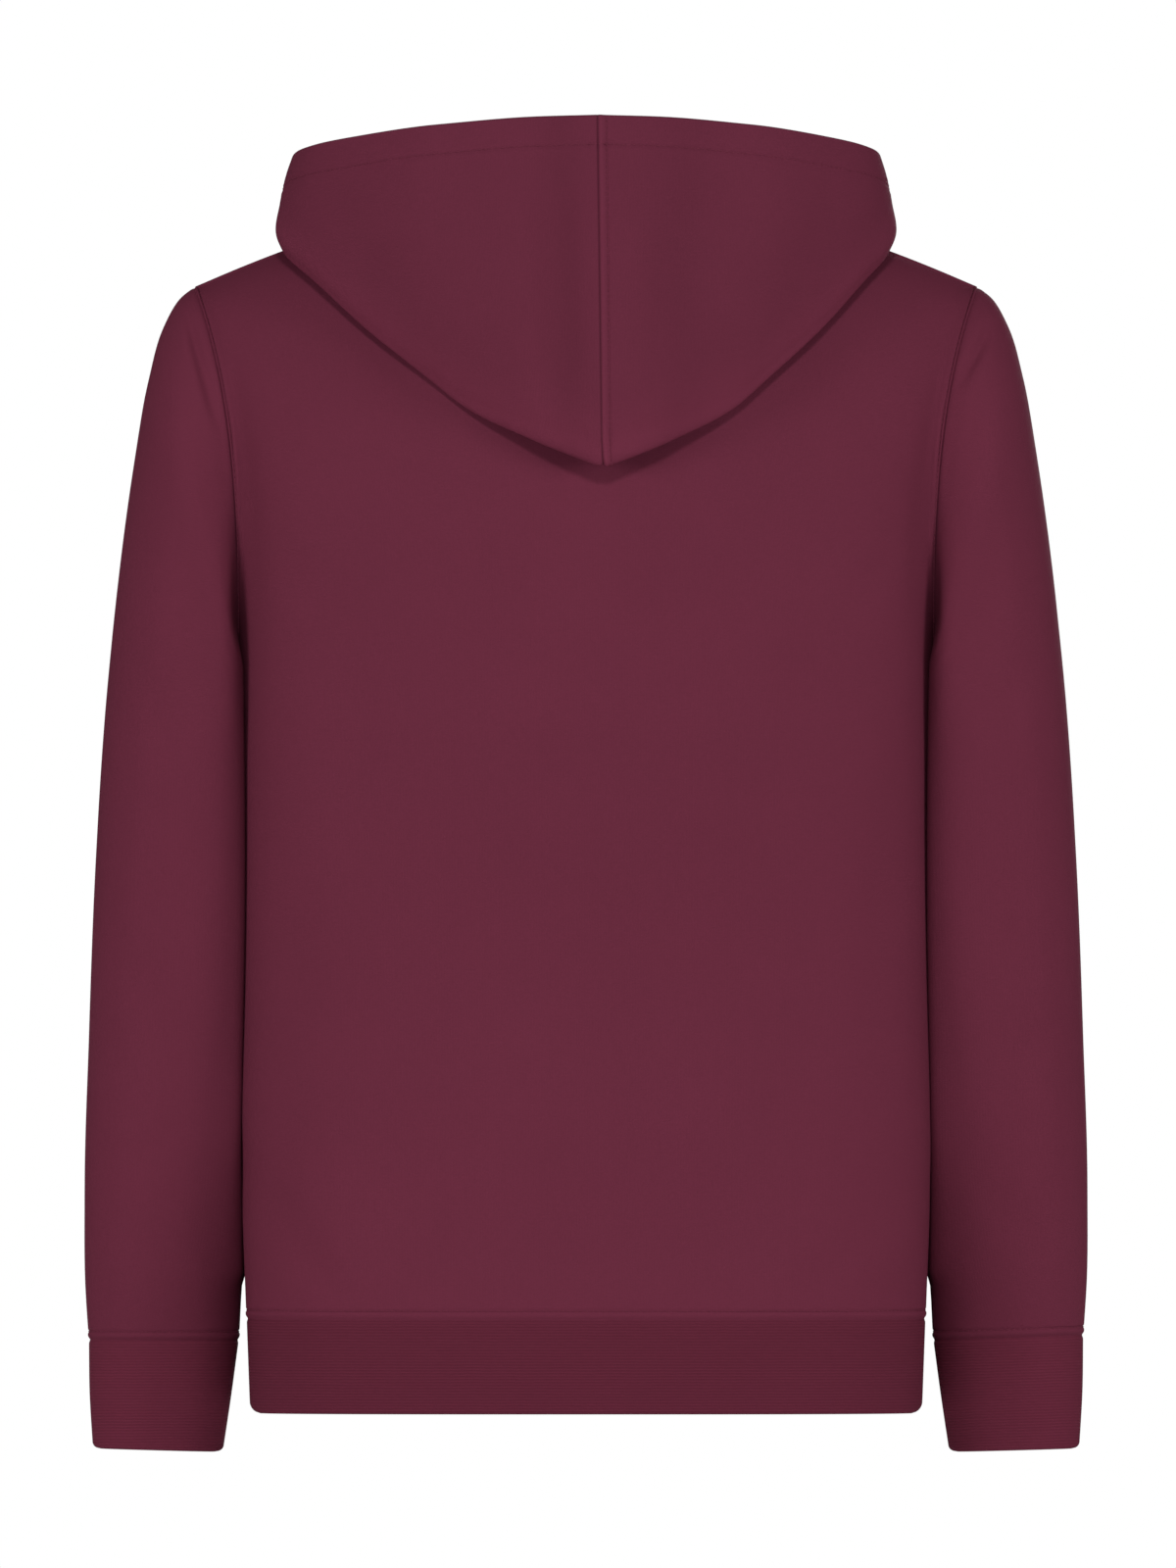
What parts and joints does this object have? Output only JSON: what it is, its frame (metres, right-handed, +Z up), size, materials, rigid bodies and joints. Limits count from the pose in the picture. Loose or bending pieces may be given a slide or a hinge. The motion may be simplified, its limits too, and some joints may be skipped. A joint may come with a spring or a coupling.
{
  "type": "zip up hoodie",
  "caption": "Plain hoodie with a full front zip, set-in sleeves, rib cuffs and hem, and a hood laid down on the back, filled out as worn and empty inside.",
  "frame": {"origin": "base of the neck, level with the highest point of the shoulders, where the wearer's shoulders hold the garment up", "axes": "+Z up, +X to the wearer's left, +Y to the wearer's back, the zip faces -Y"},
  "size_m": [0.5848, 0.2733, 0.7771],
  "materials": {
    "fleece": "matt brushed fleece, burgundy",
    "rib": "matt fine rib knit, burgundy",
    "zip_tape": "woven tape, burgundy",
    "zip_teeth": "satin moulded teeth, burgundy",
    "zip_metal": "satin dark metal"
  },
  "bodies": {
    "garment": {"back": "fleece", "front_left": "fleece", "front_right": "fleece", "sleeve_left": "fleece", "sleeve_right": "fleece", "hood_left": "fleece", "hood_right": "fleece", "cuff_left": "rib", "cuff_right": "rib", "hem_band": "rib", "zip_tape_left": "zip_tape", "zip_tape_right": "zip_tape", "zip_chain": "zip_teeth", "zip_slider": "zip_metal"},
    "pull": {"zip_pull": "zip_metal"}
  },
  "joints": [
    {"name": "pull_swing", "type": "hinge", "parent": "garment", "child": "pull", "pos_m": [0, -0.0923, -0.0939], "axis": [-1, 0, 0], "range_deg": [0, 150]}
  ]
}
